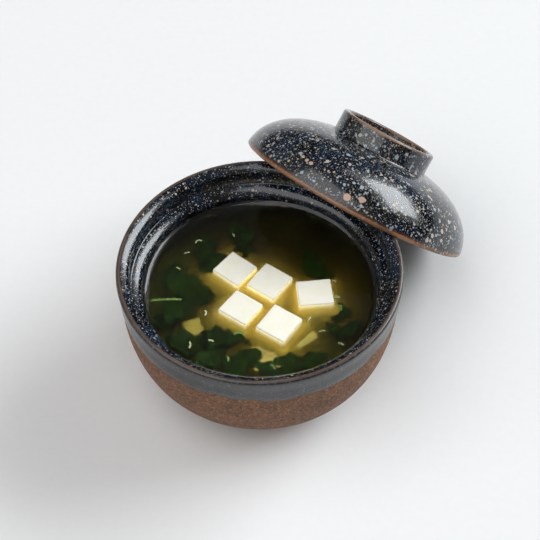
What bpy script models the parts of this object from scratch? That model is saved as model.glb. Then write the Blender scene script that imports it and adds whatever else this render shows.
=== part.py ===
"""Miso soup in a lidded stoneware bowl.

The bowl holds broth with five cubes of tofu standing in it. The domed lid leans
against the bowl: its edge stands on the table and touches the bowl's rim.
Every piece is one closed solid, in metres, with +Z up. The finished model stands on
z = 0, centred on the box round all of it.
"""

import math

import bmesh
import bpy
from mathutils import Vector

MM = 0.001

# Faceting and clearance.
TURN_STEPS = 56
WALL_STEPS = 9
BELLY_STEPS = 8
DOME_STEPS = 8
RIM_STEPS = 6
EDGE_STEPS = 4
LIP_STEPS = 3
COVE_STEPS = 2
MERGE_DISTANCE = 0.00001
GAP = 0.3 * MM

# Bowl: a round belly on a low foot ring, with a rolled rim and a seat for the lid.
# The shoulder is the part of the belly's depth where the rolled rim ends.
BOWL_RADIUS = 65.0 * MM
BOWL_HEIGHT = 70.0 * MM
RIM_THICKNESS = 5.8 * MM
BELLY_RADIUS = 64.2 * MM
BELLY_DEPTH = 68.3 * MM
BELLY_POWER = 3.2
SHOULDER_PART = 0.15
SEAT_DEPTH = 10.2 * MM
SEAT_COVE = 1.4 * MM
LIP_RADIUS = 1.8 * MM
INNER_RADIUS = 54.0 * MM
INNER_DEPTH = 61.0 * MM
THROAT_DEPTH = 15.5 * MM
FOOT_RADIUS = 29.0 * MM
FOOT_WIDTH = 5.0 * MM
FOOT_RECESS = 3.0 * MM
FOOT_EDGE = 0.7 * MM

# Broth: filled to a level below the rim, creeping up the wall at its edge. The bend is
# the part of the creeping strip at which it turns up.
BROTH_LEVEL = 18.5 * MM
MENISCUS_WIDTH = 2.4 * MM
MENISCUS_RISE = 0.9 * MM
MENISCUS_BEND = 0.45

# Tofu: name, centre beside the bowl's axis, length, width and turn of each cube.
TOFU_SIZE = 15.0 * MM
TOFU_ABOVE_BROTH = 1.0 * MM
TOFU_EDGE = 0.6 * MM
TOFU_CUBES = (
    ("tofu_1", -11.7, 12.6, 1.01, 0.97, -39.4),
    ("tofu_2", 4.4, 5.1, 1.02, 1.07, -35.5),
    ("tofu_3", 25.2, -1.5, 1.08, 0.95, 6.1),
    ("tofu_4", -8.8, -10.1, 1.01, 0.95, -35.8),
    ("tofu_5", 8.7, -19.1, 1.02, 1.06, -34.2),
)

# Lid: a shallow dome with a ring to hold it by. The dome and the hollow under it start
# this many degrees above the edge, which is rolled.
LID_RADIUS = 59.0 * MM
DOME_HEIGHT = 27.5 * MM
DOME_RADIAL_POWER = 3.04
DOME_AXIAL_POWER = 1.88
DOME_START = 12.0
HOLLOW_START = 10.0
LID_EDGE_THICKNESS = 2.4 * MM
LID_WALL = 4.0 * MM
RING_RADIUS = 24.7 * MM
RING_TOP = 36.9 * MM
RING_THICKNESS = 3.6 * MM
RING_ROUNDING = 1.3 * MM
RING_DEPTH = 8.2 * MM
RING_FILLET = 1.5 * MM

# Leaning lid: tilt from level, compass bearing of the tilt, and where its edge's
# centre lies beside the bowl's axis.
LID_TILT = math.radians(46.33)
LID_TILT_BEARING = math.radians(49.9)
LID_REACH = 79.45 * MM
LID_BEARING = math.radians(54.9)

# Colours are linear RGB.
GLAZE_COLOUR = (0.012, 0.017, 0.024)
BROTH_COLOUR = (0.045, 0.042, 0.008)
TOFU_COLOUR = (0.90, 0.84, 0.62)


def material(name, colour, roughness):
    """Return a Principled material of one colour."""
    result = bpy.data.materials.new(name)
    result.use_nodes = True
    shader = result.node_tree.nodes["Principled BSDF"]
    shader.inputs["Base Color"].default_value = (*colour, 1.0)
    shader.inputs["Roughness"].default_value = roughness
    shader.inputs["Metallic"].default_value = 0.0
    return result


def arc(centre, radius, start, end, steps):
    """Return points on an arc, from start to end degrees, as (radius, height)."""
    points = []
    for step in range(steps + 1):
        angle = math.radians(start + (end - start) * step / steps)
        points.append((centre[0] + radius * math.cos(angle), centre[1] + radius * math.sin(angle)))
    return points


def belly(radius, depth, start, end, steps):
    """Return points on a round-shouldered curve hanging from height 0.

    The angle is 0 degrees at the full radius and 90 degrees at the bottom of the axis.
    """
    points = []
    for step in range(steps + 1):
        angle = math.radians(start + (end - start) * step / steps)
        across = max(math.cos(angle), 0.0) ** (2.0 / BELLY_POWER)
        down = math.sin(angle) ** (2.0 / BELLY_POWER)
        points.append((radius * across, -depth * down))
    return points


def belly_angle(part):
    """Return the angle at which the belly curve has come down by this part of its depth."""
    return math.degrees(math.asin(part ** (BELLY_POWER / 2.0)))


def dome(radius, height, start, end, steps):
    """Return points on the lid's dome; 0 degrees is at its edge, 90 degrees at its crown."""
    points = []
    for step in range(steps + 1):
        angle = math.radians(start + (end - start) * step / steps)
        across = max(math.cos(angle), 0.0) ** (2.0 / DOME_RADIAL_POWER)
        up = math.sin(angle) ** (2.0 / DOME_AXIAL_POWER)
        points.append((radius * across, height * up))
    return points


def bowl_cavity(clearance):
    """Return the bowl's inner wall from its throat down to the axis, set in by a clearance."""
    depth = INNER_DEPTH - clearance
    top = belly_angle(THROAT_DEPTH / depth)
    return belly(INNER_RADIUS - clearance, depth, top, 90.0, WALL_STEPS)


def bowl_profile():
    """Return the bowl's half section, from the axis inside to the axis underneath."""
    seat_radius = BOWL_RADIUS - RIM_THICKNESS
    rim_rounding = RIM_THICKNESS / 2.0
    cavity = list(reversed(bowl_cavity(0.0)))
    throat_radius = cavity[-1][0]
    lip_centre = (throat_radius + LIP_RADIUS, -SEAT_DEPTH - LIP_RADIUS)
    lip = arc(lip_centre, LIP_RADIUS, 180.0, 90.0, LIP_STEPS)
    cove_centre = (seat_radius - SEAT_COVE, -SEAT_DEPTH + SEAT_COVE)
    cove = arc(cove_centre, SEAT_COVE, -90.0, 0.0, COVE_STEPS)
    rim = arc((BOWL_RADIUS - rim_rounding, -rim_rounding), rim_rounding, 180.0, 0.0, RIM_STEPS)
    shoulder = belly_angle(SHOULDER_PART)
    heel = math.degrees(math.acos((FOOT_RADIUS / BELLY_RADIUS) ** (BELLY_POWER / 2.0)))
    outside = belly(BELLY_RADIUS, BELLY_DEPTH, shoulder, heel, BELLY_STEPS)
    foot_inner = FOOT_RADIUS - FOOT_WIDTH
    foot = [
        (FOOT_RADIUS, -BOWL_HEIGHT + FOOT_EDGE),
        (FOOT_RADIUS - FOOT_EDGE, -BOWL_HEIGHT),
        (foot_inner + FOOT_EDGE, -BOWL_HEIGHT),
        (foot_inner, -BOWL_HEIGHT + FOOT_EDGE),
        (foot_inner - FOOT_RECESS, -BOWL_HEIGHT + FOOT_RECESS),
        (0.0, -BOWL_HEIGHT + FOOT_RECESS),
    ]
    return cavity + lip + cove + rim + outside + foot


def broth_profile():
    """Return the broth's half section, from its surface down to the bottom of the axis."""
    side = bowl_cavity(GAP)
    edge_radius = side[0][0]
    level = [(0.0, -BROTH_LEVEL)]
    for part in (1.0, MENISCUS_BEND):
        rise = MENISCUS_RISE * (1.0 - part) ** 2
        level.append((edge_radius - MENISCUS_WIDTH * part, -BROTH_LEVEL + rise))
    level.append((edge_radius, -BROTH_LEVEL + MENISCUS_RISE))
    below = [point for point in side if point[1] < -BROTH_LEVEL]
    return level + below


def lid_profile():
    """Return the lid's half section, edge at height 0, from the ring's floor to the inner crown."""
    floor = RING_TOP - RING_DEPTH
    inner_radius = RING_RADIUS - RING_THICKNESS
    cove_centre = (inner_radius - RING_FILLET, floor + RING_FILLET)
    floor_cove = arc(cove_centre, RING_FILLET, -90.0, 0.0, COVE_STEPS)
    top_height = RING_TOP - RING_ROUNDING
    inner_centre = (inner_radius + RING_ROUNDING, top_height)
    inner_edge = arc(inner_centre, RING_ROUNDING, 180.0, 90.0, COVE_STEPS)
    outer_centre = (RING_RADIUS - RING_ROUNDING, top_height)
    outer_edge = arc(outer_centre, RING_ROUNDING, 90.0, 0.0, COVE_STEPS)
    start = math.degrees(math.acos((RING_RADIUS / LID_RADIUS) ** (DOME_RADIAL_POWER / 2.0)))
    outside = dome(LID_RADIUS, DOME_HEIGHT, start, DOME_START, DOME_STEPS)
    foot_centre = (RING_RADIUS + RING_FILLET, outside[0][1] + RING_FILLET)
    ring_foot = arc(foot_centre, RING_FILLET, 180.0, 225.0, 1)
    edge_rounding = LID_EDGE_THICKNESS / 2.0
    edge_centre = (LID_RADIUS - edge_rounding, edge_rounding)
    edge = arc(edge_centre, edge_rounding, 0.0, -180.0, EDGE_STEPS)
    hollow_radius = LID_RADIUS - LID_EDGE_THICKNESS
    hollow = dome(hollow_radius, DOME_HEIGHT - LID_WALL, HOLLOW_START, 90.0, DOME_STEPS)
    ring = [(0.0, floor)] + floor_cove + inner_edge + outer_edge + ring_foot
    return ring + outside[1:] + edge + hollow


def turned(name, profile, collection, finish):
    """Return an object turned from a half section about its own Z axis."""
    shape = bmesh.new()
    vertices = [shape.verts.new((radius, 0.0, height)) for radius, height in profile]
    for first, second in zip(vertices, vertices[1:]):
        shape.edges.new((first, second))
    mesh = bpy.data.meshes.new(name)
    shape.to_mesh(mesh)
    shape.free()
    mesh.materials.append(finish)
    result = bpy.data.objects.new(name, mesh)
    collection.objects.link(result)
    screw = result.modifiers.new("turn", "SCREW")
    screw.steps = TURN_STEPS
    screw.render_steps = TURN_STEPS
    screw.use_merge_vertices = True
    screw.merge_threshold = MERGE_DISTANCE
    screw.use_smooth_shade = True
    return result


def block(name, centre, size, turn, collection):
    """Return a box of a given size, turned about its own Z axis."""
    shape = bmesh.new()
    bmesh.ops.create_cube(shape, size=1.0)
    bmesh.ops.scale(shape, vec=Vector(size), verts=shape.verts)
    mesh = bpy.data.meshes.new(name)
    shape.to_mesh(mesh)
    shape.free()
    result = bpy.data.objects.new(name, mesh)
    result.location = centre
    result.rotation_euler = (0.0, 0.0, math.radians(turn))
    collection.objects.link(result)
    return result


def make_tofu(collection, cutters, rim, finish):
    """Make the cubes of tofu and return a cutter for the space each takes up in the broth."""
    spaces = []
    top = -BROTH_LEVEL + TOFU_ABOVE_BROTH
    for name, across, along, length, width, turn in TOFU_CUBES:
        size = (TOFU_SIZE * length, TOFU_SIZE * width, TOFU_SIZE)
        centre = (across * MM, along * MM, top - TOFU_SIZE / 2.0)
        cube = block(name, centre, size, turn, collection)
        cube.parent = rim
        cube.data.materials.append(finish)
        edge = cube.modifiers.new("soft edges", "BEVEL")
        edge.width = TOFU_EDGE
        edge.segments = 2
        space_size = [side + 2.0 * GAP for side in size]
        space = block(f"{name}_space", centre, space_size, turn, cutters)
        space.parent = rim
        space.hide_render = True
        space.display_type = "WIRE"
        spaces.append(space)
    return spaces


def make_broth(collection, rim, spaces, finish):
    """Turn the broth and cut it round the tofu."""
    broth = turned("broth", broth_profile(), collection, finish)
    broth.parent = rim
    for space in spaces:
        cut = broth.modifiers.new(f"round {space.name}", "BOOLEAN")
        cut.operation = "DIFFERENCE"
        cut.solver = "EXACT"
        cut.object = space
    return broth


def make_lid(collection, rim, finish):
    """Turn the lid and lean it on the bowl, its lowest point on the table."""
    profile = lid_profile()
    lid = turned("lid", profile, collection, finish)
    lid.parent = rim
    drop = max(radius * math.sin(LID_TILT) - height * math.cos(LID_TILT) for radius, height in profile)
    across = LID_REACH * math.cos(LID_BEARING)
    along = LID_REACH * math.sin(LID_BEARING)
    lid.location = (across, along, drop - BOWL_HEIGHT)
    lid.rotation_euler = (0.0, LID_TILT, LID_TILT_BEARING)
    return lid


def centre_on_table(rim, collection):
    """Move the whole model so that the box round it is centred and stands on z = 0."""
    bpy.context.view_layer.update()
    graph = bpy.context.evaluated_depsgraph_get()
    corners = []
    for item in collection.objects:
        if item.type != "MESH":
            continue
        evaluated = item.evaluated_get(graph)
        corners += [evaluated.matrix_world @ vertex.co for vertex in evaluated.data.vertices]
    low = [min(corner[axis] for corner in corners) for axis in range(3)]
    high = [max(corner[axis] for corner in corners) for axis in range(3)]
    rim.location.x -= (low[0] + high[0]) / 2.0
    rim.location.y -= (low[1] + high[1]) / 2.0
    rim.location.z -= low[2]


def main():
    for item in list(bpy.data.objects):
        bpy.data.objects.remove(item, do_unlink=True)

    soup = bpy.data.collections.new("miso soup")
    cutters = bpy.data.collections.new("cutters")
    bpy.context.scene.collection.children.link(soup)
    bpy.context.scene.collection.children.link(cutters)

    # Everything hangs from the centre of the bowl's rim, where the sizes are measured.
    rim = bpy.data.objects.new("rim_centre", None)
    soup.objects.link(rim)

    glaze = material("speckled glaze", GLAZE_COLOUR, 0.3)
    bowl = turned("bowl", bowl_profile(), soup, glaze)
    bowl.parent = rim
    spaces = make_tofu(soup, cutters, rim, material("tofu", TOFU_COLOUR, 0.5))
    make_broth(soup, rim, spaces, material("broth", BROTH_COLOUR, 0.1))
    make_lid(soup, rim, glaze)
    centre_on_table(rim, soup)


main()
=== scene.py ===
# %% [markdown]
# # Miso soup in a lidded stoneware bowl
# A studio model of one bowl of soup: a thick wheel-thrown bowl with a blue-black
# speckled glaze over bare brown clay, dark broth with cubes of tofu, seaweed and
# spring onion, and a domed lid that leans on the bowl's rim.
#
# The solids of the frame give every place and size. Each piece below is turned,
# cut or bent from bmesh operators, at the origin, with its place in its mesh.

# %% Load the frame
import math
import random

import bmesh
import bpy
from mathutils import Euler, Matrix, Vector, noise


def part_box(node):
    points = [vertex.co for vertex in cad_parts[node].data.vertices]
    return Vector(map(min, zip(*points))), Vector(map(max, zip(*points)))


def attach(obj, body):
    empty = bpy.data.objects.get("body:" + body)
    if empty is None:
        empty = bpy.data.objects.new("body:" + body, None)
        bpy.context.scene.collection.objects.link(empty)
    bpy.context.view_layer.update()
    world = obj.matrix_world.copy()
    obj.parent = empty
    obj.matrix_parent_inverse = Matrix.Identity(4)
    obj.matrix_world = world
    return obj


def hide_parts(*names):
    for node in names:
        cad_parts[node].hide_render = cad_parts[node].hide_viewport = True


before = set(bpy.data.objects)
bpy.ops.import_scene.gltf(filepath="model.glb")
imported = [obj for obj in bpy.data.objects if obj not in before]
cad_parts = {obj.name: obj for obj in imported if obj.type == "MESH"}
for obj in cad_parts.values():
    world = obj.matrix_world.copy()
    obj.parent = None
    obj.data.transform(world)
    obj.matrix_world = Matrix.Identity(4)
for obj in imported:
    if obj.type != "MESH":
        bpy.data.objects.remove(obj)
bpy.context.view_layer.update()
MM = 0.001
print("frame nodes:", sorted(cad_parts))

# %% [markdown]
# ## Where everything is
# The bowl is round, so the middle of its box is its axis and the top of its box is
# the plane of its rim. All heights below are counted from the centre of that rim,
# the way a potter measures a bowl's depth.

# %% Measure the frame
bowl_low, bowl_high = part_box("bowl")
rim_centre = Vector(((bowl_low.x + bowl_high.x) / 2, (bowl_low.y + bowl_high.y) / 2, bowl_high.z))
HAIR = 0.02 * MM
BOWL_RADIUS = (bowl_high.x - bowl_low.x) / 2 - HAIR
BOWL_HEIGHT = bowl_high.z - bowl_low.z
tofu_nodes = sorted(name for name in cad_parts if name.startswith("tofu"))
print("rim centre:", rim_centre, "radius:", BOWL_RADIUS, "tofu:", tofu_nodes)

# %% [markdown]
# ## The camera
# A food photographer looks down on the soup at about fifty degrees, from a little
# under seven tenths of a metre, with a short telephoto lens that keeps the round
# rim from bulging.

# %% Place the camera
CAMERA_RISE = math.radians(51.07)
CAMERA_DISTANCE = 675.5 * MM
AIM_RIGHT = 4.57 * MM
AIM_DOWN = 2.17 * MM

camera = bpy.data.objects.new("camera", bpy.data.cameras.new("camera"))
bpy.context.scene.collection.objects.link(camera)
camera.data.lens = 100.0
camera.data.sensor_width = 36.0
camera.rotation_euler = (math.pi / 2 - CAMERA_RISE, 0.0, 0.0)
view_up = Vector((0.0, math.sin(CAMERA_RISE), math.cos(CAMERA_RISE)))
view_back = Vector((0.0, -math.cos(CAMERA_RISE), math.sin(CAMERA_RISE)))
camera.location = rim_centre + Vector((AIM_RIGHT, 0, 0)) - AIM_DOWN * view_up + CAMERA_DISTANCE * view_back
bpy.context.scene.camera = camera
bpy.context.scene.view_settings.view_transform = "Standard"
print("camera at", camera.location)

# %% [markdown]
# ## Node helpers
# A material is a small graph. These helpers add one node, join a value or a
# socket to an input, and blend two colours, so that each finish further down
# reads as a recipe.


# %% Helpers for materials
def fresh_material(name):
    """Return a new material's tree and its Principled shader."""
    result = bpy.data.materials.new(name)
    result.use_nodes = True
    return result, result.node_tree, result.node_tree.nodes["Principled BSDF"]


def feed(tree, target, value):
    """Join a socket to an input, or set the input to a plain value."""
    if isinstance(value, bpy.types.NodeSocket):
        tree.links.new(value, target)
    elif hasattr(value, "__len__") and len(value) == 3 and target.type == "RGBA":
        target.default_value = (*value, 1.0)
    else:
        target.default_value = value


def add_node(tree, kind, settings=None, **inputs):
    """Add a node; settings are its properties and inputs its named sockets."""
    result = tree.nodes.new("ShaderNode" + kind)
    for key, value in (settings or {}).items():
        setattr(result, key, value)
    for key, value in inputs.items():
        feed(tree, result.inputs[key.replace("_", " ")], value)
    return result


def sums(tree, operation, *values):
    """Return the result of one Math node."""
    result = add_node(tree, "Math", {"operation": operation})
    for index, value in enumerate(values):
        feed(tree, result.inputs[index], value)
    return result.outputs[0]


def fade(tree, value, low, high, out_low=0.0, out_high=1.0):
    """Return a smooth step from out_low to out_high as value goes from low to high."""
    result = add_node(tree, "MapRange", {"interpolation_type": "SMOOTHSTEP"})
    for key, number in zip(("Value", "From Min", "From Max", "To Min", "To Max"), (value, low, high, out_low, out_high)):
        feed(tree, result.inputs[key], number)
    return result.outputs["Result"]


def blend_colour(tree, amount, first, second):
    """Return first colour where amount is 0 and second where it is 1."""
    result = add_node(tree, "Mix", {"data_type": "RGBA"})
    feed(tree, result.inputs["Factor"], amount)
    feed(tree, result.inputs[6], first)
    feed(tree, result.inputs[7], second)
    return result.outputs[2]


def noise_field(tree, place, size, detail=4.0, roughness=0.55, distortion=0.0):
    """Return a noise whose lumps are about size metres across."""
    result = add_node(tree, "TexNoise", None, Vector=place, Scale=1.0 / size, Detail=detail, Roughness=roughness)
    result.inputs["Distortion"].default_value = distortion
    return result.outputs["Fac"]


def local_place(tree, centre, turn=(0.0, 0.0, 0.0)):
    """Return the place on the object seen from a piece's own centre and axes."""
    coordinates = add_node(tree, "TexCoord")
    mapping = add_node(tree, "Mapping", {"vector_type": "TEXTURE"}, Vector=coordinates.outputs["Object"])
    mapping.inputs["Location"].default_value = centre
    mapping.inputs["Rotation"].default_value = turn
    return mapping.outputs["Vector"]


# %% [markdown]
# ## Turning on the wheel
# Bowl, lid and broth are round. Each is drawn as half of its section and spun once
# round the axis with the bmesh spin operator, merging the last step into the first.
# A Screw modifier would do the same, but here the mesh is moved afterwards, so it
# has to be real.


# %% Helpers for turned pieces
def arc(centre, radius, start, end, steps):
    """Return points on an arc from start to end degrees, as (radius, height)."""
    angles = [math.radians(start + (end - start) * step / steps) for step in range(steps + 1)]
    return [(centre[0] + radius * math.cos(a), centre[1] + radius * math.sin(a)) for a in angles]


def turn_on_wheel(outline, steps):
    """Return a bmesh of the outline spun once round the Z axis."""
    clay = bmesh.new()
    points = [clay.verts.new((radius, 0.0, height)) for radius, height in outline]
    edges = [clay.edges.new(pair) for pair in zip(points, points[1:])]
    bmesh.ops.spin(
        clay, geom=points + edges, cent=(0, 0, 0), axis=(0, 0, 1), dvec=(0, 0, 0),
        angle=math.tau, steps=steps, use_merge=True,
    )
    bmesh.ops.remove_doubles(clay, verts=clay.verts, dist=0.001 * MM)
    bmesh.ops.recalc_face_normals(clay, faces=clay.faces)
    return clay


def finish_piece(name, shape, material, slot, *stands_for):
    """Make an object of a bmesh, let it ride on the frame and take a finish."""
    mesh = bpy.data.meshes.new(name)
    shape.to_mesh(mesh)
    shape.free()
    mesh.materials.append(material)
    mesh.shade_smooth()
    mesh.set_sharp_from_angle(angle=math.radians(50))
    piece = bpy.data.objects.new(name, mesh)
    bpy.context.scene.collection.objects.link(piece)
    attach(piece, "root")
    if stands_for:
        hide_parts(*stands_for)
    print(f"{name}: {len(mesh.polygons)} faces")
    return piece


# %% [markdown]
# ## The bowl's section
# The thrower's profile: a crisp outer edge, a rim that slopes gently inwards, a
# sloping ledge that the lid sits on, the wall inside, and outside a belly that
# swells and then tucks under to a low foot ring. The belly is a superellipse,
# rounder than a circle and softer than a box. The gentle slopes matter: they are
# what catches the window in two broad rings of light.

# %% Name the bowl's sizes
RIM_THICKNESS = 5.8 * MM
RIM_EDGE = 1.5 * MM
RIM_SLOPES = ((3.0 * MM, 0, 22), (8.0 * MM, 22, 48), (1.0 * MM, 48, 90))
SEAT_DEPTH = 10.2 * MM
SEAT_CORNER = 0.4 * MM
LEDGE_SLOPES = ((8.5 * MM, 12, 48), (1.9 * MM, 48, 90))
BELLY_RADIUS = 64.2 * MM
BELLY_DEPTH = 68.3 * MM
BELLY_POWER = 3.2
INNER_RADIUS = 54.0 * MM
INNER_DEPTH = 61.0 * MM
THROAT_DEPTH = 14.4 * MM
FOOT_RADIUS = 29.0 * MM
FOOT_WIDTH = 5.0 * MM
FOOT_RECESS = 3.0 * MM
FOOT_EDGE = 0.7 * MM


# %% Draw the bowl's section
def slope_inwards(start, bends):
    """Return points that fall inwards; bends are a radius and its first and last slope."""
    points = [start]
    for radius, first, last in bends:
        edge, height = points[-1]
        begin = math.radians(first)
        for step in range(1, 11):
            angle = begin + math.radians(last - first) * step / 10
            across = radius * (math.sin(angle) - math.sin(begin))
            points.append((edge - across, height - radius * (math.cos(begin) - math.cos(angle))))
    return points


def belly(radius, depth, start, end, steps):
    """Return points on a belly curve: 0 degrees at full radius, 90 at the axis."""
    points = []
    for step in range(steps + 1):
        angle = math.radians(start + (end - start) * step / steps)
        across = max(math.cos(angle), 0.0) ** (2 / BELLY_POWER)
        points.append((radius * across, -depth * math.sin(angle) ** (2 / BELLY_POWER)))
    return points


def belly_angle(part):
    """Return the angle at which a belly has come down by this part of its depth."""
    return math.degrees(math.asin(part ** (BELLY_POWER / 2)))


def cavity(spread, steps):
    """Return the inner wall from its throat to the axis, spread outwards."""
    depth = INNER_DEPTH + spread
    return belly(INNER_RADIUS + spread, depth, belly_angle(THROAT_DEPTH / depth), 90.0, steps)


def bowl_section():
    """Return the bowl's half section from the axis inside to the axis underneath."""
    seat_radius = BOWL_RADIUS - RIM_THICKNESS
    inside = cavity(0.0, 40)[::-1]
    ledge = slope_inwards((seat_radius - SEAT_CORNER, -SEAT_DEPTH), LEDGE_SLOPES)[::-1]
    corner = [(seat_radius, -SEAT_DEPTH + SEAT_CORNER)]
    rim = slope_inwards((BOWL_RADIUS - RIM_EDGE, 0.0), RIM_SLOPES)[::-1]
    edge = arc((BOWL_RADIUS - RIM_EDGE, -RIM_EDGE), RIM_EDGE, 90, 0, 10)[1:]
    heel = math.degrees(math.acos((FOOT_RADIUS / BELLY_RADIUS) ** (BELLY_POWER / 2)))
    outside = belly(BELLY_RADIUS, BELLY_DEPTH, belly_angle(0.09), heel, 90)
    foot_inner = FOOT_RADIUS - FOOT_WIDTH
    floor = -BOWL_HEIGHT
    foot = arc((FOOT_RADIUS - FOOT_EDGE, floor + FOOT_EDGE), FOOT_EDGE, 0, -90, 4)
    foot += arc((foot_inner + FOOT_EDGE, floor + FOOT_EDGE), FOOT_EDGE, -90, -180, 4)
    foot += [(foot_inner - FOOT_RECESS, floor + FOOT_RECESS), (0.0, floor + FOOT_RECESS)]
    return inside + ledge + corner + rim + edge + outside + foot


bowl_outline = bowl_section()
print("bowl section:", len(bowl_outline), "points")

# %% [markdown]
# ## Glaze over bare clay
# The glaze stops in an uneven line a little below the rim, where the potter dipped
# the bowl. It is a glassy skin about a third of a millimetre thick, so the bare
# clay below sits that much further in, with faint finger rings from the throwing.
# The line wanders with a noise round the bowl. One attribute, `bare`, tells the
# material which side of the wall a point is on.

# %% Turn the bowl
GLAZE_LINE = -14.2 * MM
GLAZE_SKIN = 0.3 * MM
LINE_WANDER = 1.6 * MM
THROWING_RING = 0.12 * MM


def glaze_line(point):
    """Return the height at which the glaze stops, at this point's side of the bowl."""
    side = Vector((point.x, point.y, 0)).normalized()
    return GLAZE_LINE + LINE_WANDER * noise.noise(side * 2.2) + 0.3 * LINE_WANDER * noise.noise(side * 9.0)


def is_outside(point):
    """Tell the outer wall from the inner one."""
    part = min(-point.z / BELLY_DEPTH, 1.0)
    wall = BELLY_RADIUS * (1 - max(part, 0.0) ** BELLY_POWER) ** (1 / BELLY_POWER)
    return point.z < -INNER_DEPTH - MM or (point.z < 0 and math.hypot(point.x, point.y) > wall - 1.5 * MM)


bowl_shape = turn_on_wheel(bowl_outline, 240)
bare = bowl_shape.verts.layers.float.new("bare")
for vert in bowl_shape.verts:
    below = glaze_line(vert.co) - vert.co.z
    if not is_outside(vert.co):
        continue
    vert[bare] = 1.0
    if vert.co.z < -BELLY_DEPTH * 0.98:
        continue
    ring = THROWING_RING * math.sin(vert.co.z / (1.1 * MM) + 2 * noise.noise(vert.co * 25))
    inset = min(max(below / (0.8 * MM) + 0.5, 0.0), 1.0) * (GLAZE_SKIN + max(ring, 0.0))
    radius = math.hypot(vert.co.x, vert.co.y)
    vert.co.xy *= (radius - inset) / radius
bmesh.ops.translate(bowl_shape, verts=bowl_shape.verts, vec=rim_centre)
print("bowl faces:", len(bowl_shape.faces))

# %% [markdown]
# ## Speckled glaze
# A tenmoku-like glaze: nearly black, clouded with cobalt blue, and full of pale
# crystals. Voronoi cells give one speckle per cell, and the cell's own random
# colour decides how large its speckle is, so most cells stay empty and a few hold
# a big cream one. Noise bends the coordinates first, because real crystals aren't
# round. Where the glaze runs thin over an edge, the iron shows brown.


# %% Masks for the glaze
def speckles(tree, place, cell, largest, share):
    """Return a mask of pale dots, one in some cells, and a random number for each."""
    cells = add_node(tree, "TexVoronoi", {"feature": "F1"}, Vector=place, Scale=1.0 / cell)
    chance = add_node(tree, "SeparateColor", None, Color=cells.outputs["Color"])
    present = sums(tree, "GREATER_THAN", chance.outputs["Red"], 1.0 - share)
    spread = sums(tree, "MULTIPLY", chance.outputs["Green"], chance.outputs["Green"])
    size = sums(tree, "MULTIPLY_ADD", spread, 0.6 * largest / cell, 0.4 * largest / cell)
    edge = sums(tree, "SUBTRACT", size, cells.outputs["Distance"])
    dots = fade(tree, edge, -0.07 * MM / cell, 0.07 * MM / cell)
    return sums(tree, "MULTIPLY", dots, present), chance.outputs["Blue"]


def ring_mask(tree, place, radius, height, core, edge):
    """Return a band round the axis: 1 within core of a circle, fading out by edge."""
    parts = add_node(tree, "SeparateXYZ", None, Vector=place)
    flat = add_node(tree, "CombineXYZ", None, X=parts.outputs["X"], Y=parts.outputs["Y"])
    reach = add_node(tree, "VectorMath", {"operation": "LENGTH"}, Vector=flat.outputs["Vector"])
    across = sums(tree, "SUBTRACT", reach.outputs["Value"], radius)
    up = sums(tree, "SUBTRACT", parts.outputs["Z"], height)
    offset = add_node(tree, "CombineXYZ", None, X=across, Y=up)
    gap = add_node(tree, "VectorMath", {"operation": "LENGTH"}, Vector=offset.outputs["Vector"])
    return fade(tree, gap.outputs["Value"], core, edge, 1.0, 0.0)


def spot_mask(tree, place, centre, radius):
    """Return a round spot at one place."""
    gap = add_node(tree, "VectorMath", {"operation": "DISTANCE"}, Vector=place)
    gap.inputs[1].default_value = centre
    return fade(tree, gap.outputs["Value"], radius * 0.8, radius * 1.15, 1.0, 0.0)


def wobbled(tree, place, size, amount):
    """Return the place pushed about by a noise, so that round dots turn uneven."""
    push = add_node(tree, "TexNoise", None, Vector=place, Scale=1.0 / size, Detail=2.0)
    centred = add_node(tree, "VectorMath", {"operation": "SUBTRACT"}, Vector=push.outputs["Color"])
    centred.inputs[1].default_value = (0.5, 0.5, 0.5)
    scaled = add_node(tree, "VectorMath", {"operation": "SCALE"}, Vector=centred.outputs["Vector"])
    scaled.inputs["Scale"].default_value = amount
    moved = add_node(tree, "VectorMath", {"operation": "ADD"})
    feed(tree, moved.inputs[0], place)
    feed(tree, moved.inputs[1], scaled.outputs["Vector"])
    return moved.outputs["Vector"]


# %% Recipe for the glaze
BLACK_GLAZE = (0.0018, 0.0022, 0.0032)
NAVY = (0.0050, 0.0125, 0.0280)
SLATE = (0.022, 0.033, 0.050)
CREAM = (0.47, 0.40, 0.31)
PALE_BLUE = (0.34, 0.41, 0.48)
SALMON = (0.50, 0.34, 0.25)
IRON_BRIGHT = (0.25, 0.140, 0.076)
IRON_DARK = (0.050, 0.018, 0.007)
# Cell size, largest radius, share of cells that hold a speckle, and its strength.
DUST = (0.65 * MM, 0.28 * MM, 0.80, 0.45)
GRAINS = (1.20 * MM, 0.56 * MM, 0.62, 0.75)
SPOTS = (2.4 * MM, 1.05 * MM, 0.52, 0.90)
BLOTS = (6.5 * MM, 1.50 * MM, 0.40, 0.95)
FINE = (0.72 * MM, 0.29 * MM, 0.72, 0.80)
SPARSE = (1.8 * MM, 0.62 * MM, 0.50, 0.90)


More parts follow.
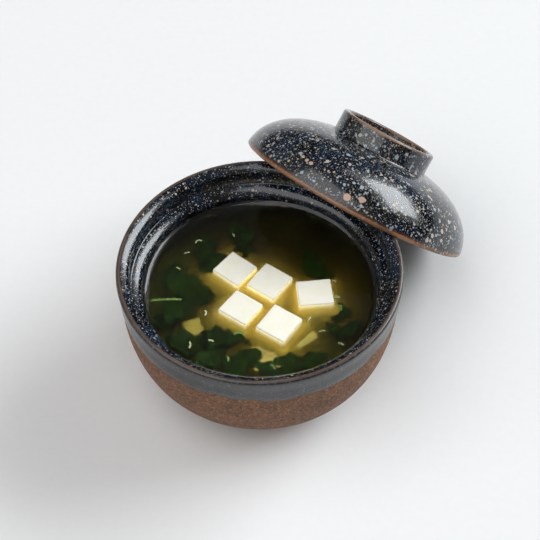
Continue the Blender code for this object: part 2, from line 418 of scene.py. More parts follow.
def glaze_colour(tree, place, speckle_sizes):
    """Return the glaze's colour and a mask of its crystals."""
    clouds = fade(tree, noise_field(tree, place, 17 * MM, 5, 0.6), 0.42, 0.64)
    colour = blend_colour(tree, clouds, BLACK_GLAZE, NAVY)
    patches = fade(tree, noise_field(tree, place, 8 * MM, 4, 0.6), 0.40, 0.66)
    mottle = fade(tree, noise_field(tree, place, 1.3 * MM, 6, 0.75), 0.48, 0.70)
    colour = blend_colour(tree, sums(tree, "MULTIPLY", mottle, sums(tree, "MULTIPLY", patches, 0.75)), colour, SLATE)
    uneven = wobbled(tree, place, 1.5 * MM, 0.9 * MM)
    crystals = 0.0
    for cell, largest, share, strength in speckle_sizes:
        dots, tint = speckles(tree, uneven, cell, largest, share)
        dot_colour = blend_colour(tree, fade(tree, tint, 0.35, 0.65), PALE_BLUE, CREAM)
        if largest > 1.2 * MM:
            dot_colour = blend_colour(tree, fade(tree, tint, 0.5, 0.8), CREAM, SALMON)
        dots = sums(tree, "MULTIPLY", dots, strength)
        colour = blend_colour(tree, dots, colour, dot_colour)
        crystals = sums(tree, "MAXIMUM", crystals, dots)
    return colour, crystals


# %% [markdown]
# ## Unglazed stoneware
# Bare fired clay is matte and full of grog, the ground-up fired clay that makes it
# strong. It shows as dark iron spots, pale grains and small pits. Three noises of
# different size mix the browns, and the same fields drive the bump.

# %% Recipe for the bare clay
CLAY = (0.150, 0.064, 0.028)
CLAY_WARM = (0.220, 0.097, 0.041)
CLAY_PALE = (0.420, 0.230, 0.120)
CLAY_DARK = (0.040, 0.016, 0.009)


def clay_colour(tree, place):
    """Return the clay's colour and its relief."""
    body = fade(tree, noise_field(tree, place, 8 * MM, 5, 0.65), 0.34, 0.66)
    colour = blend_colour(tree, body, CLAY, CLAY_WARM)
    grain = noise_field(tree, place, 1.3 * MM, 6, 0.8)
    colour = blend_colour(tree, fade(tree, grain, 0.53, 0.64), colour, CLAY_PALE)
    colour = blend_colour(tree, fade(tree, grain, 0.48, 0.38), colour, CLAY_DARK)
    grog, _tint = speckles(tree, wobbled(tree, place, 1.0 * MM, 0.8 * MM), 2.2 * MM, 0.55 * MM, 0.6)
    colour = blend_colour(tree, sums(tree, "MULTIPLY", grog, 0.85), colour, CLAY_DARK)
    chalk, _tint = speckles(tree, wobbled(tree, place, 0.9 * MM, 0.6 * MM), 1.6 * MM, 0.32 * MM, 0.5)
    colour = blend_colour(tree, sums(tree, "MULTIPLY", chalk, 0.6), colour, CLAY_PALE)
    relief = sums(tree, "SUBTRACT", grain, sums(tree, "MULTIPLY", grog, 0.35))
    return colour, relief


# %% [markdown]
# ## One material for a dipped pot
# Glaze and clay meet on one surface, so one shader holds both, and the `bare`
# attribute with the wandering line picks between them. Roughness jumps from glassy
# to matte at the line.


# %% Recipe for the stoneware
def stoneware(name, centre, turn, speckle_sizes, iron_rings, big_spots, has_clay):
    """Return glazed stoneware; iron_rings are (radius, height, core, edge, colour)."""
    material, tree, shader = fresh_material(name)
    place = local_place(tree, centre, turn)
    colour, crystals = glaze_colour(tree, place, speckle_sizes)
    for spot, radius in big_spots:
        mask = spot_mask(tree, wobbled(tree, place, 2 * MM, 0.8 * MM), spot, radius)
        colour = blend_colour(tree, mask, colour, SALMON)
        crystals = sums(tree, "MAXIMUM", crystals, mask)
    jitter = sums(tree, "MULTIPLY", sums(tree, "SUBTRACT", noise_field(tree, place, 2.2 * MM, 5, 0.7), 0.5), 2.6 * MM)
    iron = 0.0
    for radius, height, core, edge, tone in iron_rings:
        level = sums(tree, "ADD", height, sums(tree, "MULTIPLY", jitter, 0.25))
        worn = fade(tree, noise_field(tree, place, 28 * MM, 3), 0.36, 0.56, 0.45, 1.0)
        mask = sums(tree, "MULTIPLY", ring_mask(tree, place, radius, level, core, edge), worn)
        colour = blend_colour(tree, sums(tree, "MULTIPLY", mask, 0.9), colour, tone)
        iron = sums(tree, "MAXIMUM", iron, mask)
    rough = fade(tree, noise_field(tree, place, 3 * MM, 3), 0.3, 0.7, 0.07, 0.13)
    rough = sums(tree, "ADD", rough, sums(tree, "MULTIPLY", crystals, 0.14))
    rough = sums(tree, "ADD", rough, sums(tree, "MULTIPLY", iron, 0.20))
    relief = sums(tree, "MULTIPLY", noise_field(tree, place, 5 * MM, 2), 0.10)
    relief = sums(tree, "ADD", relief, sums(tree, "MULTIPLY", crystals, 0.03))
    relief = sums(tree, "ADD", relief, sums(tree, "MULTIPLY", noise_field(tree, place, 1.1 * MM, 3), 0.05))
    if has_clay:
        attribute = add_node(tree, "Attribute", {"attribute_name": "bare"}).outputs["Fac"]
        band = fade(tree, noise_field(tree, place, 3 * MM, 5, 0.7), 0.36, 0.66)
        band_colour = blend_colour(tree, band, (0.009, 0.010, 0.012), (0.034, 0.034, 0.035))
        colour = blend_colour(tree, sums(tree, "MULTIPLY", attribute, 0.80), colour, band_colour)
        height = add_node(tree, "SeparateXYZ", None, Vector=place).outputs["Z"]
        drift = sums(tree, "SUBTRACT", noise_field(tree, place, 16 * MM, 2), 0.5)
        line = sums(tree, "ADD", sums(tree, "ADD", GLAZE_LINE, jitter), sums(tree, "MULTIPLY", drift, 6 * MM))
        under = fade(tree, sums(tree, "SUBTRACT", line, height), -0.2 * MM, 0.5 * MM)
        bare_part = sums(tree, "MULTIPLY", under, attribute)
        clay, clay_relief = clay_colour(tree, place)
        colour = blend_colour(tree, bare_part, colour, clay)
        rough = sums(tree, "ADD", rough, sums(tree, "MULTIPLY", attribute, 0.10))
        rough = sums(tree, "ADD", rough, sums(tree, "MULTIPLY", bare_part, 0.60))
        grit = sums(tree, "MULTIPLY", clay_relief, 0.5)
        keep = sums(tree, "SUBTRACT", 1.0, bare_part)
        relief = sums(tree, "ADD", sums(tree, "MULTIPLY", relief, keep), sums(tree, "MULTIPLY", grit, bare_part))
    bump = add_node(tree, "Bump", None, Height=relief, Strength=1.0, Distance=1.0 * MM)
    feed(tree, shader.inputs["Base Color"], colour)
    feed(tree, shader.inputs["Roughness"], rough)
    feed(tree, shader.inputs["Normal"], bump.outputs["Normal"])
    shader.inputs["IOR"].default_value = 1.6
    return material


# %% Finish the bowl
bowl_iron = [
    (BOWL_RADIUS - 0.1 * MM, -1.6 * MM, 0.4 * MM, 0.9 * MM, IRON_DARK),
    (BOWL_RADIUS - 1.3 * MM, -0.2 * MM, 0.5 * MM, 1.1 * MM, IRON_BRIGHT),
]
bowl_finish = stoneware(
    "dipped stoneware bowl", rim_centre, (0, 0, 0), (FINE, SPARSE), bowl_iron, (), True,
)
bowl = finish_piece("stoneware_bowl", bowl_shape, bowl_finish, "stoneware", "bowl")

# %% [markdown]
# ## The lid
# The lid is a shallow dome with a thin, unglazed edge and a turned ring that
# doubles as its foot when it is put down upside down. It is drawn upright, spun,
# tipped about its own centre, and set so that its lowest point touches the table.

# %% Turn the lid
LID_RADIUS = 59.0 * MM
DOME_HEIGHT = 27.5 * MM
DOME_RADIAL_POWER = 3.04
DOME_AXIAL_POWER = 1.88
LID_EDGE_THICKNESS = 2.4 * MM
LID_WALL = 4.0 * MM
RING_RADIUS = 24.7 * MM
RING_TOP = 36.9 * MM
RING_THICKNESS = 3.6 * MM
RING_ROUNDING = 1.3 * MM
RING_DEPTH = 8.2 * MM
RING_FILLET = 1.5 * MM
LID_TILT = math.radians(46.33)
LID_TILT_BEARING = math.radians(49.9)
LID_REACH = 79.45 * MM
LID_BEARING = math.radians(54.9)


def dome(radius, height, start, end, steps):
    """Return points on a dome: 0 degrees at its edge, 90 at its crown."""
    points = []
    for step in range(steps + 1):
        angle = math.radians(start + (end - start) * step / steps)
        across = max(math.cos(angle), 0.0) ** (2 / DOME_RADIAL_POWER)
        points.append((radius * across, height * math.sin(angle) ** (2 / DOME_AXIAL_POWER)))
    return points


def lid_section():
    """Return the lid's half section from the ring's floor round to the inner crown."""
    floor = RING_TOP - RING_DEPTH
    inner = RING_RADIUS - RING_THICKNESS
    points = [(0.0, floor)]
    points += arc((inner - RING_FILLET, floor + RING_FILLET), RING_FILLET, -90, 0, 6)
    points += arc((inner + RING_ROUNDING, RING_TOP - RING_ROUNDING), RING_ROUNDING, 180, 90, 8)
    points += arc((RING_RADIUS - RING_ROUNDING, RING_TOP - RING_ROUNDING), RING_ROUNDING, 90, 0, 8)
    start = math.degrees(math.acos((RING_RADIUS / LID_RADIUS) ** (DOME_RADIAL_POWER / 2)))
    outside = dome(LID_RADIUS, DOME_HEIGHT, start - 2, 4, 48)
    corner = (RING_RADIUS + RING_FILLET, outside[0][1] + RING_FILLET)
    points += arc(corner, RING_FILLET, 180, 250, 6)
    points += outside[1:]
    half = LID_EDGE_THICKNESS / 2
    points += arc((LID_RADIUS - half, half), half, 0, -180, 14)
    points += dome(LID_RADIUS - LID_EDGE_THICKNESS, DOME_HEIGHT - LID_WALL, 6, 90, 40)
    return points


lid_outline = lid_section()
lid_shape = turn_on_wheel(lid_outline, 240)
lid_drop = max(r * math.sin(LID_TILT) - h * math.cos(LID_TILT) for r, h in lid_outline)
lid_offset = LID_REACH * Vector((math.cos(LID_BEARING), math.sin(LID_BEARING), 0))
lid_centre = rim_centre + lid_offset + Vector((0, 0, lid_drop - BOWL_HEIGHT))
lid_turn = (0.0, LID_TILT, LID_TILT_BEARING)
lid_place = Matrix.Translation(lid_centre) @ Euler(lid_turn).to_matrix().to_4x4()
bmesh.ops.scale(lid_shape, vec=Vector((1, 1, 1)) * (1 - 4 * HAIR / LID_RADIUS), verts=lid_shape.verts)
bmesh.ops.transform(lid_shape, matrix=lid_place, verts=lid_shape.verts)
print("lid centre:", lid_centre, "faces:", len(lid_shape.faces))

# %% Finish the lid
LID_EDGE_BROWN = (0.30, 0.135, 0.055)
RUST = (0.110, 0.045, 0.018)
lid_iron = [
    (RING_RADIUS - RING_THICKNESS - 1.5 * MM, RING_TOP - 4.5 * MM, 1.0 * MM, 4.5 * MM, RUST),
    (LID_RADIUS + 0.1 * MM, 2.6 * MM, 0.3 * MM, 1.1 * MM, IRON_DARK),
    (LID_RADIUS - 0.6 * MM, 0.7 * MM, 1.1 * MM, 1.7 * MM, LID_EDGE_BROWN),
    (RING_RADIUS - 0.4 * MM, RING_TOP - 0.4 * MM, 0.5 * MM, 1.3 * MM, IRON_BRIGHT),
    (RING_RADIUS - RING_THICKNESS + 0.4 * MM, RING_TOP - 0.4 * MM, 0.4 * MM, 1.1 * MM, IRON_BRIGHT),
]
lid_spots = [
    (Vector((-54.3, -19.7, 6.2)) * MM, 1.7 * MM), (Vector((-50.9, -25.5, 8.2)) * MM, 1.5 * MM),
    (Vector((-54.8, 6.5, 11.2)) * MM, 1.0 * MM), (Vector((-55.2, 3.8, 11.0)) * MM, 1.1 * MM),
]
lid_finish = stoneware(
    "speckled lid glaze", lid_centre, lid_turn, (DUST, GRAINS, SPOTS, BLOTS), lid_iron, lid_spots, False,
)
lid = finish_piece("stoneware_lid", lid_shape, lid_finish, "stoneware", "lid")

# %% [markdown]
# ## Tofu
# Silken tofu cut with a knife: clean cubes with slightly soft edges, faces that
# sag a little, and a moist surface. Each cube is the frame's cube made again with
# more faces, so the cut faces can be uneven by a tenth of a millimetre.

# %% Recipe for the tofu
tofu_finish, tree, shader = fresh_material("silken tofu")
place = local_place(tree, rim_centre)
cloud = fade(tree, noise_field(tree, place, 6 * MM, 4), 0.3, 0.7)
tofu_colour = blend_colour(tree, cloud, (0.98, 0.94, 0.77), (1.00, 0.98, 0.86))
pores = noise_field(tree, place, 0.8 * MM, 5, 0.7)
tofu_colour = blend_colour(tree, fade(tree, pores, 0.36, 0.26), tofu_colour, (0.80, 0.70, 0.47))
tofu_bump = add_node(tree, "Bump", None, Height=pores, Strength=0.5, Distance=0.15 * MM)
# Painted glow: glow_depth is how far below a cube's top a point lies, and the sides are painted gold with it, the
# colour of light carried down through the broth.
glow_depth = add_node(tree, "Attribute", {"attribute_name": "glow_depth"}).outputs["Fac"]
side = fade(tree, glow_depth, 0.03, 0.07)
feed(tree, shader.inputs["Base Color"], blend_colour(tree, glow_depth, tofu_colour, (0.98, 0.74, 0.28)))
feed(tree, shader.inputs["Normal"], tofu_bump.outputs["Normal"])
feed(tree, shader.inputs["Subsurface Weight"], fade(tree, side, 0.0, 1.0, 0.1, 1.0))
# Painted glow: the sides give off a faint gold light near the top, standing in for light carried down through the
# tofu under the broth.
painted_glow = sums(tree, "MULTIPLY", side, fade(tree, glow_depth, 0.0, 0.80, 0.55, 0.0))
feed(tree, shader.inputs["Emission Color"], (1.0, 0.83, 0.46))
feed(tree, shader.inputs["Emission Strength"], painted_glow)
shader.inputs["Specular IOR Level"].default_value = 0.3
shader.inputs["Roughness"].default_value = 0.42
shader.inputs["Subsurface Radius"].default_value = (1.0, 0.85, 0.55)
shader.inputs["Subsurface Scale"].default_value = 5.0 * MM

# %% Cut the cubes
TOFU_EDGE = 0.6 * MM
# Depth over which the painted gold glow on a cube's sides comes in.
GLOW_DEPTH = 11.0 * MM


def cube_frame(node):
    """Return a standing cube's centre, side directions and half sizes from its solid."""
    points = [vert.co.copy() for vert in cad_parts[node].data.vertices]
    low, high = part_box(node)
    centre = (low + high) / 2
    best = None
    for step in range(360):
        angle = math.radians(step * 0.25)
        along = Vector((math.cos(angle), math.sin(angle), 0))
        across = Vector((-along.y, along.x, 0))
        half = [max(abs((p - centre).dot(axis)) for p in points) for axis in (along, across)]
        if best is None or half[0] * half[1] < best[0]:
            best = (half[0] * half[1], along, across, half)
    _area, along, across, half = best
    return centre, along, across, (half[0], half[1], (high.z - low.z) / 2)


def cut_cube(centre, along, across, half, seed):
    """Return a soft-edged, slightly uneven cube in place."""
    shape = bmesh.new()
    bmesh.ops.create_cube(shape, size=2.0)
    bmesh.ops.scale(shape, vec=Vector(half), verts=shape.verts)
    bmesh.ops.bevel(
        shape, geom=shape.edges[:], offset=TOFU_EDGE, offset_type="OFFSET",
        affect="EDGES", segments=3, profile=0.5, material=-1,
    )
    long_edges = [edge for edge in shape.edges if edge.calc_length() > 5 * MM]
    bmesh.ops.subdivide_edges(shape, edges=long_edges, cuts=19, use_grid_fill=True)
    shift = Vector((seed * 7.3, seed * 3.1, 0))
    # Store the depth below the top, which the material uses for the painted gold glow.
    glow_depth_layer = shape.verts.layers.float.new("glow_depth")
    for vert in shape.verts:
        below = half[2] - vert.co.z
        vert[glow_depth_layer] = min(max(below, 0.0) / GLOW_DEPTH, 1.0)
        swell = noise.noise(vert.co * 160 + shift) * 0.16 * MM + noise.noise(vert.co * 700 + shift) * 0.05 * MM
        vert.co -= vert.co.normalized() * max(swell + 0.08 * MM, 0)
    turn = Matrix((along, across, Vector((0, 0, 1)))).transposed().to_4x4()
    bmesh.ops.transform(shape, matrix=Matrix.Translation(centre) @ turn, verts=shape.verts)
    return shape


cube_frames = {node: cube_frame(node) for node in tofu_nodes}
for index, node in enumerate(tofu_nodes):
    centre, along, across, half = cube_frames[node]
    cube = cut_cube(centre, along, across, half, index + 1)
    finish_piece(f"cut_{node}", cube, tofu_finish, "tofu", node)
    print(node, "half sizes (mm):", [round(side / MM, 2) for side in half])

# %% [markdown]
# ## Broth
# Dashi with miso is clear at the surface and turns dark within a centimetre. That
# is what a refracting surface with an absorbing volume does: light that goes down
# and comes back loses blue first, then red, and comes out olive gold. The surface
# creeps up the wall and up the sides of the tofu, so it is a fine disc whose rings
# are lifted near every edge.

# %% Shape the broth
BROTH_LEVEL = 18.5 * MM
WALL_RISE = 2.2 * MM
WALL_REACH = 2.0 * MM
TOFU_RISE = 0.4 * MM
TOFU_REACH = 0.9 * MM
surface_height = rim_centre.z - BROTH_LEVEL


def outside_cube(point, cube):
    """Return how far a point lies outside a cube seen from above."""
    centre, along, across, half = cube
    offset = point - centre
    dx = abs(offset.dot(along)) - half[0]
    dy = abs(offset.dot(across)) - half[1]
    return math.hypot(max(dx, 0.0), max(dy, 0.0))


def broth_section():
    """Return the broth's half section, reaching just into the wall."""
    wall = [point for point in cavity(0.2 * MM, 40) if point[1] < -BROTH_LEVEL - 0.2 * MM]
    edge = INNER_RADIUS - 0.15 * MM
    open_rings = [(edge - 6 * MM) * step / 90 for step in range(90)]
    wall_rings = [edge - 6 * MM + 6 * MM * step / 24 for step in range(25)]
    return [(radius, -BROTH_LEVEL) for radius in open_rings + wall_rings] + wall


broth_shape = turn_on_wheel(broth_section(), 288)
bmesh.ops.translate(broth_shape, verts=broth_shape.verts, vec=rim_centre)
for vert in broth_shape.verts:
    if vert.co.z < surface_height - 0.05 * MM:
        continue
    from_axis = math.hypot(vert.co.x - rim_centre.x, vert.co.y - rim_centre.y)
    to_wall = max(INNER_RADIUS - 0.15 * MM - from_axis, 0.0)
    to_tofu = min(outside_cube(vert.co, cube) for cube in cube_frames.values())
    vert.co.z += WALL_RISE * math.exp(-to_wall / WALL_REACH)
    vert.co.z += TOFU_RISE * math.exp(-to_tofu / TOFU_REACH)
    vert.co.z += 0.03 * MM * noise.noise(vert.co * 60)
print("broth faces:", len(broth_shape.faces))

# %% Recipe for the broth
broth_finish, tree, shader = fresh_material("miso broth")
shader.inputs["Base Color"].default_value = (1.0, 1.0, 1.0, 1.0)
shader.inputs["Transmission Weight"].default_value = 1.0
shader.inputs["Roughness"].default_value = 0.42
shader.inputs["IOR"].default_value = 1.15
shader.inputs["Coat Weight"].default_value = 1.0
shader.inputs["Coat Roughness"].default_value = 0.02
shader.inputs["Coat IOR"].default_value = 1.4
absorb = add_node(tree, "VolumeAbsorption", None, Color=(0.86, 0.82, 0.50), Density=240.0)
tree.links.new(absorb.outputs["Volume"], tree.nodes["Material Output"].inputs["Volume"])
broth = finish_piece("broth_body", broth_shape, broth_finish, "broth", "broth")

# %% [markdown]
# ## The cloud in the miso
# Miso never dissolves. It hangs in the broth as a soft brown-green cloud a few
# millimetres down and gathers round the tofu. It is one lumpy sheet under the
# surface, turned into a thin closed body, and an attribute stores how close each
# point is to a cube. There the cloud is painted gold, a painted glow that stands for
# the light from the white sides, and towards the back right it is painted dark, a
# painted shade for the shadow of the lid and the rim.

# %% Shape the cloud
CLOUD_DEPTH = 8.5 * MM
CLOUD_RADIUS = INNER_RADIUS - 1.2 * MM
cloud_shape = turn_on_wheel([(CLOUD_RADIUS * step / 60, 0.0) for step in range(61)], 160)
bmesh.ops.translate(cloud_shape, verts=cloud_shape.verts, vec=rim_centre - Vector((0, 0, BROTH_LEVEL + CLOUD_DEPTH)))
glow = cloud_shape.verts.layers.float.new("glow")
for vert in cloud_shape.verts:
    to_tofu = min(outside_cube(vert.co, cube) for cube in cube_frames.values())
    near = math.exp(-((to_tofu / (6.0 * MM)) ** 2))
    lump = noise.fractal(vert.co * 55, 1.0, 2.1, 4)
    vert[glow] = math.exp(-to_tofu / (4.6 * MM))
    vert.co.z += 2.0 * MM * lump + 3.5 * MM * near
bottom = bmesh.ops.extrude_face_region(cloud_shape, geom=cloud_shape.faces[:])
lowered = [item for item in bottom["geom"] if isinstance(item, bmesh.types.BMVert)]
bmesh.ops.translate(cloud_shape, verts=lowered, vec=(0, 0, -1.5 * MM))
bmesh.ops.recalc_face_normals(cloud_shape, faces=cloud_shape.faces)

# %% Recipe for the cloud
# Painted shade: the cloud is painted nearly black towards the back right, where the lid and rim shade it, and keeps
# its full colour towards the front left.
CLOUD_LIT_SIDE = (-0.45, -0.89, 0.0)
cloud_finish, tree, shader = fresh_material("miso cloud")
place = local_place(tree, rim_centre)
drift = fade(tree, noise_field(tree, place, 22 * MM, 5, 0.6, 0.6), 0.36, 0.66)
to_front = add_node(tree, "VectorMath", {"operation": "DOT_PRODUCT"}, Vector=place)
to_front.inputs[1].default_value = CLOUD_LIT_SIDE
painted_light_front = fade(tree, to_front.outputs["Value"], -30 * MM, 26 * MM, 0.05, 1.0)
colour = blend_colour(tree, drift, (0.025, 0.038, 0.020), (0.095, 0.140, 0.070))
wisps = fade(tree, noise_field(tree, place, 5 * MM, 4, 0.6, 1.0), 0.5, 0.75)
colour = blend_colour(tree, sums(tree, "MULTIPLY", wisps, 0.4), colour, (0.17, 0.22, 0.10))
# Painted shade: blend to near black away from the lit front left.
colour = blend_colour(tree, painted_light_front, (0.004, 0.005, 0.002), colour)
# Painted glow: the cloud is painted gold near the cubes, for the light their white sides throw.
near = add_node(tree, "Attribute", {"attribute_name": "glow"}).outputs["Fac"]
colour = blend_colour(tree, near, colour, (0.98, 0.78, 0.27))
feed(tree, shader.inputs["Base Color"], colour)
feed(tree, shader.inputs["Roughness"], fade(tree, drift, 0.0, 1.0, 0.7, 0.95))
finish_piece("miso_cloud", cloud_shape, cloud_finish, "broth")

# %% [markdown]
# ## Sunk tofu
# More cubes lie deeper in the bowl. Only their tops glow through the broth.

# %% Drop in the sunk cubes
SUNK_CUBES = (
    (-28.0, -16.5, 8.0, 20.0, 12.0),
    (18.0, -20.5, 6.6, -52.0, 12.0),
    (2.8, -33.0, 6.4, 8.0, 12.0),
    (10.5, 19.0, 8.8, -20.0, 14.0),
    (30.0, -17.0, 9.5, 32.0, 13.0),
)
sunk = bmesh.new()
for index, (across_mm, along_mm, depth_mm, turn_deg, side_mm) in enumerate(SUNK_CUBES):
    half = (side_mm * MM / 2,) * 3
    centre = rim_centre + Vector((across_mm * MM, along_mm * MM, -BROTH_LEVEL - depth_mm * MM - half[2]))
    direction = Vector((math.cos(math.radians(turn_deg)), math.sin(math.radians(turn_deg)), 0))
    cube = cut_cube(centre, direction, Vector((-direction.y, direction.x, 0)), half, index + 11)
    holder = bpy.data.meshes.new("holder")
    cube.to_mesh(holder)
    cube.free()
    sunk.from_mesh(holder)
    bpy.data.meshes.remove(holder)
finish_piece("sunk_tofu", sunk, tofu_finish, "tofu")

# %% [markdown]
# ## Wakame
# Soaked seaweed: thin, slippery ribbons with ruffled edges that drift just under
# the surface. Each ribbon is a grid bent along a random curl, ruffled more at its
# edges than its middle, and given a thin wall with the solidify operator.

# %% Bend the ribbons
WAKAME_PLACES = (
    (-33.0, 4.0, 4.5, 26.0, 11.0), (-36.0, -3.0, 4.0, 30.0, 12.0), (-41.0, -12.0, 4.5, 20.0, 9.0),
    (-20.0, -32.0, 3.8, 28.0, 10.0), (-10.0, -38.0, 4.2, 24.0, 10.0), (-31.0, -27.0, 5.0, 24.0, 11.0),
    (-14.0, -25.0, 4.0, 18.0, 7.0), (18.0, -37.0, 4.8, 24.0, 9.0), (32.0, -8.0, 5.4, 20.0, 9.0),
    (-24.0, 22.0, 4.8, 28.0, 12.0), (-40.0, 10.0, 4.0, 18.0, 9.0), (26.0, 16.0, 5.5, 24.0, 10.0),
    (38.0, -20.0, 4.0, 18.0, 8.0), (6.0, -43.0, 3.6, 22.0, 7.0), (-8.0, 34.0, 5.8, 26.0, 10.0),
)
chance = random.Random(11)


def bend_ribbon(target, centre, length, width):
    """Add one curled, ruffled ribbon to the target bmesh."""
    leaf = bmesh.new()
    bmesh.ops.create_grid(leaf, x_segments=26, y_segments=6, size=0.5)
    curl = chance.uniform(-1.6, 1.6)
    phase = chance.uniform(0, math.tau)
    turn = chance.uniform(0, math.tau)
    lean = chance.uniform(-0.25, 0.25)
    for vert in leaf.verts:
        along, across = vert.co.x, vert.co.y
        taper = 1.0 - 0.7 * abs(2 * along) ** 3
        ruffle = math.sin(along * 21 + phase) * abs(across * 2) ** 1.5
        wide = width * taper * across * (1 + 0.25 * math.sin(along * 13 + phase))
        angle = curl * along
        vert.co = Vector((
            length * math.sin(angle) / curl + 0.3 * MM * ruffle,
            wide + length * (1 - math.cos(angle)) / curl,
            1.1 * MM * ruffle + 1.2 * MM * math.sin(along * 6 + phase),
        ))
    bmesh.ops.solidify(leaf, geom=leaf.faces[:], thickness=0.35 * MM)
    place_leaf = Matrix.Translation(centre) @ Euler((lean, lean / 2, turn)).to_matrix().to_4x4()
    bmesh.ops.transform(leaf, matrix=place_leaf, verts=leaf.verts)
    holder = bpy.data.meshes.new("holder")
    leaf.to_mesh(holder)
    leaf.free()
    target.from_mesh(holder)
    bpy.data.meshes.remove(holder)


wakame = bmesh.new()
for across_mm, along_mm, depth_mm, length_mm, width_mm in WAKAME_PLACES:
    centre = rim_centre + Vector((across_mm, along_mm, -BROTH_LEVEL / MM - depth_mm)) * MM
    bend_ribbon(wakame, centre, length_mm * MM, width_mm * MM)
bmesh.ops.recalc_face_normals(wakame, faces=wakame.faces)

# %% Recipe for the wakame
wakame_finish, tree, shader = fresh_material("wakame")
place = local_place(tree, rim_centre)
tone = fade(tree, noise_field(tree, place, 4 * MM, 5, 0.6), 0.32, 0.68)
colour = blend_colour(tree, tone, (0.005, 0.018, 0.003), (0.018, 0.058, 0.008))
veins = fade(tree, noise_field(tree, place, 0.8 * MM, 4, 0.7), 0.52, 0.70)
colour = blend_colour(tree, sums(tree, "MULTIPLY", veins, 0.5), colour, (0.040, 0.085, 0.018))
feed(tree, shader.inputs["Base Color"], colour)
wakame_bump = add_node(tree, "Bump", None, Height=veins, Strength=0.4, Distance=0.1 * MM)
feed(tree, shader.inputs["Normal"], wakame_bump.outputs["Normal"])
shader.inputs["Roughness"].default_value = 0.6
shader.inputs["Specular IOR Level"].default_value = 0.1
finish_piece("wakame_ribbons", wakame, wakame_finish, "wakame")

# %% [markdown]
# ## Spring onion
# Finely sliced green onion floats as slivers: short arcs of a ring, green or almost
# white. Each is a small rectangle spun through part of a turn. A longer strip of
# leaf lies just under the surface at the left.

# %% Slice the onion
ONION_BITS = (
    # across, along, depth below the surface, ring radius, arc degrees, thickness, turn, green
    (-29.5, 30.0, -0.1, 1.6, 150, 0.7, 40, 0.5), (-34.5, 23.0, 0.5, 2.0, 80, 0.7, 70, 0.3),
    (34.5, -4.0, 0.0, 5.0, 50, 1.1, 75, 0.75), (37.0, -9.5, 0.6, 3.0, 60, 1.2, -30, 1.0),
    (-24.5, -13.0, -0.1, 2.6, 70, 0.8, -35, 0.15), (-21.8, -28.5, -0.1, 2.0, 70, 0.8, 40, 0.25),
    (-31.0, -31.0, -0.1, 2.8, 75, 0.8, -38, 0.25), (22.5, -16.5, -0.1, 2.2, 70, 0.7, -65, 0.2),
    (-9.5, -24.0, 0.3, 3.4, 80, 1.0, 55, 0.95), (36.5, -30.0, 0.4, 1.8, 90, 0.9, 20, 0.6),
    (34.5, 6.0, 0.5, 2.2, 60, 0.6, 30, 0.25), (-12.5, 34.0, 1.0, 2.0, 60, 0.7, -10, 0.3),
    (6.0, -42.0, 1.0, 3.4, 60, 0.8, 10, 0.9), (-14.0, -38.0, 0.8, 2.8, 60, 0.8, -20, 0.8),
    (28.0, -22.5, 0.9, 2.2, 80, 0.7, 60, 0.5), (-38.0, 14.0, 1.2, 2.5, 60, 0.7, 20, 0.6),
)


def slice_onion(target, centre, radius, sweep, painted_light_front, turn):
    """Add an arc-shaped sliver to the target bmesh."""
    sliver = bmesh.new()
    corners = ((-0.5, -0.35), (0.5, -0.35), (0.5, 0.35), (-0.5, 0.35))
    verts = [sliver.verts.new((radius + side * painted_light_front, 0.0, up * painted_light_front)) for side, up in corners]
    face = sliver.faces.new(verts)
    bmesh.ops.spin(
        sliver, geom=[face], cent=(0, 0, 0), axis=(0, 0, 1), dvec=(0, 0, 0),
        angle=math.radians(sweep), steps=9, use_merge=False,
    )
    bmesh.ops.recalc_face_normals(sliver, faces=sliver.faces)
    middle = Vector((radius * math.cos(math.radians(sweep / 2)), radius * math.sin(math.radians(sweep / 2)), 0))
    bmesh.ops.translate(sliver, verts=sliver.verts, vec=-middle)
    bmesh.ops.bevel(
        sliver, geom=[edge for edge in sliver.edges if edge.calc_face_angle(0) > 1.0], offset=painted_light_front * 0.15,
        offset_type="OFFSET", affect="EDGES", segments=2, profile=0.5, material=-1,
    )
    place_sliver = Matrix.Translation(centre) @ Matrix.Rotation(math.radians(turn), 4, "Z")
    bmesh.ops.transform(sliver, matrix=place_sliver, verts=sliver.verts)
    holder = bpy.data.meshes.new("holder")
    sliver.to_mesh(holder)
    sliver.free()
    target.from_mesh(holder)
    bpy.data.meshes.remove(holder)


onion = bmesh.new()
green_layer = onion.verts.layers.float.new("green")
for across_mm, along_mm, depth_mm, radius_mm, sweep, thick_mm, turn_deg, green in ONION_BITS:
    before = len(onion.verts)
    centre = rim_centre + Vector((across_mm, along_mm, -BROTH_LEVEL / MM - depth_mm)) * MM
    slice_onion(onion, centre, radius_mm * MM, sweep, thick_mm * MM, turn_deg)
    onion.verts.ensure_lookup_table()
    for index in range(before, len(onion.verts)):
        onion.verts[index][green_layer] = green
LEAF_LENGTH = 14.0 * MM
before = len(onion.verts)
leaf_centre = rim_centre + Vector((-43.0, -4.5, -BROTH_LEVEL / MM - 1.2)) * MM
slice_onion(onion, leaf_centre, 60 * MM, math.degrees(LEAF_LENGTH / (60 * MM)), 1.3 * MM, 86)
onion.verts.ensure_lookup_table()
for index in range(before, len(onion.verts)):
    onion.verts[index][green_layer] = 0.9

# %% Recipe for the onion
onion_finish, tree, shader = fresh_material("spring onion")
place = local_place(tree, rim_centre)
fibre = fade(tree, noise_field(tree, place, 0.6 * MM, 3), 0.35, 0.65)
white_part = blend_colour(tree, fibre, (0.50, 0.52, 0.30), (0.66, 0.68, 0.46))
green_part = blend_colour(tree, fibre, (0.085, 0.210, 0.030), (0.170, 0.340, 0.060))
green = add_node(tree, "Attribute", {"attribute_name": "green"}).outputs["Fac"]
feed(tree, shader.inputs["Base Color"], blend_colour(tree, green, white_part, green_part))
shader.inputs["Roughness"].default_value = 0.35
onion_bump = add_node(tree, "Bump", None, Height=fibre, Strength=0.4, Distance=0.08 * MM)
feed(tree, shader.inputs["Normal"], onion_bump.outputs["Normal"])
finish_piece("spring_onion", onion, onion_finish, "onion")
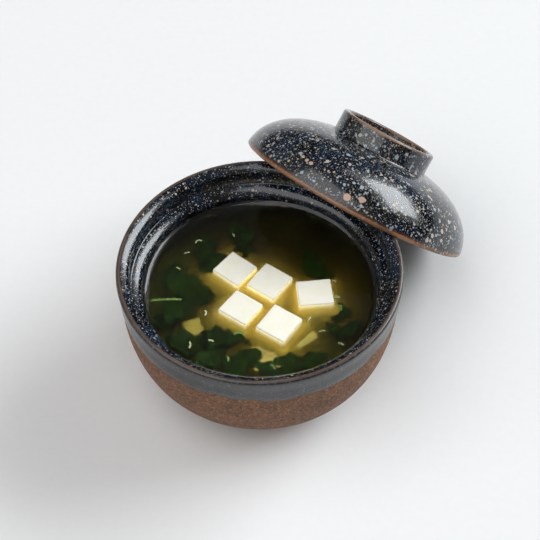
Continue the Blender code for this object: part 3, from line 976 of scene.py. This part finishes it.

# %% [markdown]
# ## The table and the light
# The table is a white sweep, painted greyer away from the bowl, a painted shade for
# the light falling off beyond the set. One panel as large as a window stands at the
# right: it draws the bright patch on the lid and the rings of light inside the rim,
# and its soft shadow falls to the left. The room fills in from the front left. It is
# dark at the back, because the broth would mirror a white wall there.

# %% Build the table
table_shape = bmesh.new()
bmesh.ops.create_grid(table_shape, x_segments=1, y_segments=1, size=4.0)
table_mesh = bpy.data.meshes.new("table")
table_shape.to_mesh(table_mesh)
table_shape.free()
table = bpy.data.objects.new("table", table_mesh)
bpy.context.scene.collection.objects.link(table)
table_finish, tree, shader = fresh_material("white table")
place = local_place(tree, (0, 0, 0))
grain = noise_field(tree, place, 4 * MM, 4)
white = blend_colour(tree, grain, (0.84, 0.84, 0.84), (0.88, 0.88, 0.88))
from_middle = add_node(tree, "VectorMath", {"operation": "LENGTH"}, Vector=place).outputs["Value"]
# Painted shade: the table's colour turns grey away from the bowl, standing in for light that falls off there.
painted_falloff = fade(tree, from_middle, 0.40, 1.2)
feed(tree, shader.inputs["Base Color"], blend_colour(tree, painted_falloff, white, (0.50, 0.50, 0.51)))
shader.inputs["Roughness"].default_value = 0.9
table_mesh.materials.append(table_finish)


# %% Hang the lights
def softbox(name, bearing, rise, distance, width, height, power, tint=(1.0, 1.0, 1.0)):
    """Hang a panel at a bearing and a rise in degrees from the bowl, facing it."""
    panel = bpy.data.lights.new(name, "AREA")
    panel.shape = "RECTANGLE"
    panel.size = width
    panel.size_y = height
    panel.energy = power
    panel.color = tint
    result = bpy.data.objects.new(name, panel)
    bpy.context.scene.collection.objects.link(result)
    turn, up = math.radians(bearing), math.radians(rise)
    away = Vector((math.cos(turn) * math.cos(up), math.sin(turn) * math.cos(up), math.sin(up)))
    result.location = rim_centre + away * distance
    result.rotation_euler = away.to_track_quat("Z", "Y").to_euler()
    return result


softbox("window panel", 25.0, 34.0, 4.0, 4.3, 3.0, 44.0, (0.97, 0.99, 1.0))
softbox("bright middle of the window", 26.0, 32.0, 3.95, 2.7, 1.9, 122.0, (0.92, 0.97, 1.0))
softbox("high softbox", 214.0, 61.0, 2.2, 2.5, 2.5, 31.0)

# %% Light the room
FILL_SIDE = Vector((-0.62, -0.45, 0.64)).normalized()
world = bpy.data.worlds.new("studio")
bpy.context.scene.world = world
world.use_nodes = True
tree = world.node_tree
rays = add_node(tree, "TexCoord")
facing = add_node(tree, "VectorMath", {"operation": "DOT_PRODUCT"}, Vector=rays.outputs["Generated"])
facing.inputs[1].default_value = FILL_SIDE
brightness = fade(tree, facing.outputs["Value"], -0.1, 1.0, 0.05, 0.34)
feed(tree, tree.nodes["Background"].inputs["Color"], (1.0, 1.0, 1.0))
feed(tree, tree.nodes["Background"].inputs["Strength"], brightness)
